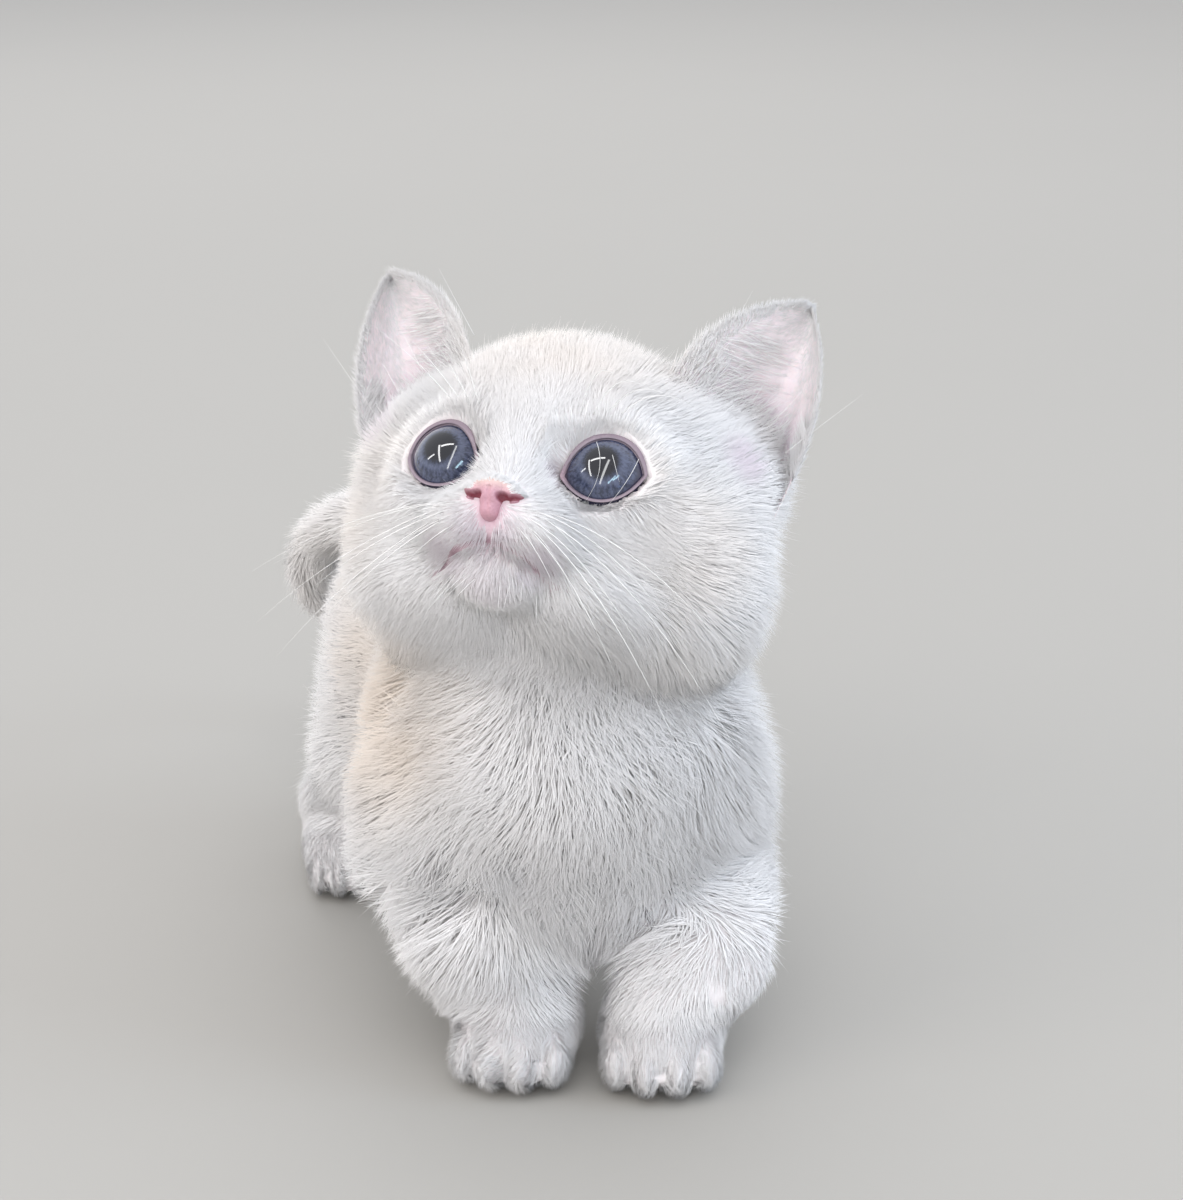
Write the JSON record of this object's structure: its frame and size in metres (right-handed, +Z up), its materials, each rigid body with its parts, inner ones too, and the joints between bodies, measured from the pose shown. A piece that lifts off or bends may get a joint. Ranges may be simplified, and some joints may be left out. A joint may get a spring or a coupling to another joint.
{
  "type": "munchkin kitten",
  "caption": "Life-size munchkin kitten, a still display model: very short legs, deep soft chest, round head turned and lifted, upright cupped ears and a low curling tail.",
  "frame": {"origin": "on the floor, below the middle of the whole model's box", "axes": "+Z up, -Y the way the body faces, +X towards the kitten's left side"},
  "size_m": [0.1104, 0.2428, 0.1426],
  "materials": {
    "white_coat": "short soft plush fur, white",
    "cream_coat": "short soft plush fur, pale cream",
    "ear": "thin pink skin in a cup, short white fur behind",
    "nose_leather": "bare moist pink skin, fine pebble grain",
    "skin": "bare pink skin of lips, lid rims and inner ear",
    "eye": "wet glossy eye, blue-grey iris and dark pupil",
    "whisker": "stiff white whiskers and single guard hairs"
  },
  "bodies": {
    "root": {"head": "white_coat", "nose": "nose_leather", "ear_left": "ear", "eye_left": "eye", "ear_right": "ear", "eye_right": "eye", "neck": "white_coat", "chest": "white_coat", "belly": "cream_coat", "rump": "cream_coat", "tail_base": "cream_coat", "tail_middle": "cream_coat", "tail_tip": "cream_coat", "foreleg_left": "white_coat", "forepaw_left": "white_coat", "thigh_left": "cream_coat", "hindfoot_left": "white_coat", "foreleg_right": "white_coat", "forepaw_right": "white_coat", "thigh_right": "cream_coat", "hindfoot_right": "white_coat"}
  },
  "joints": []
}
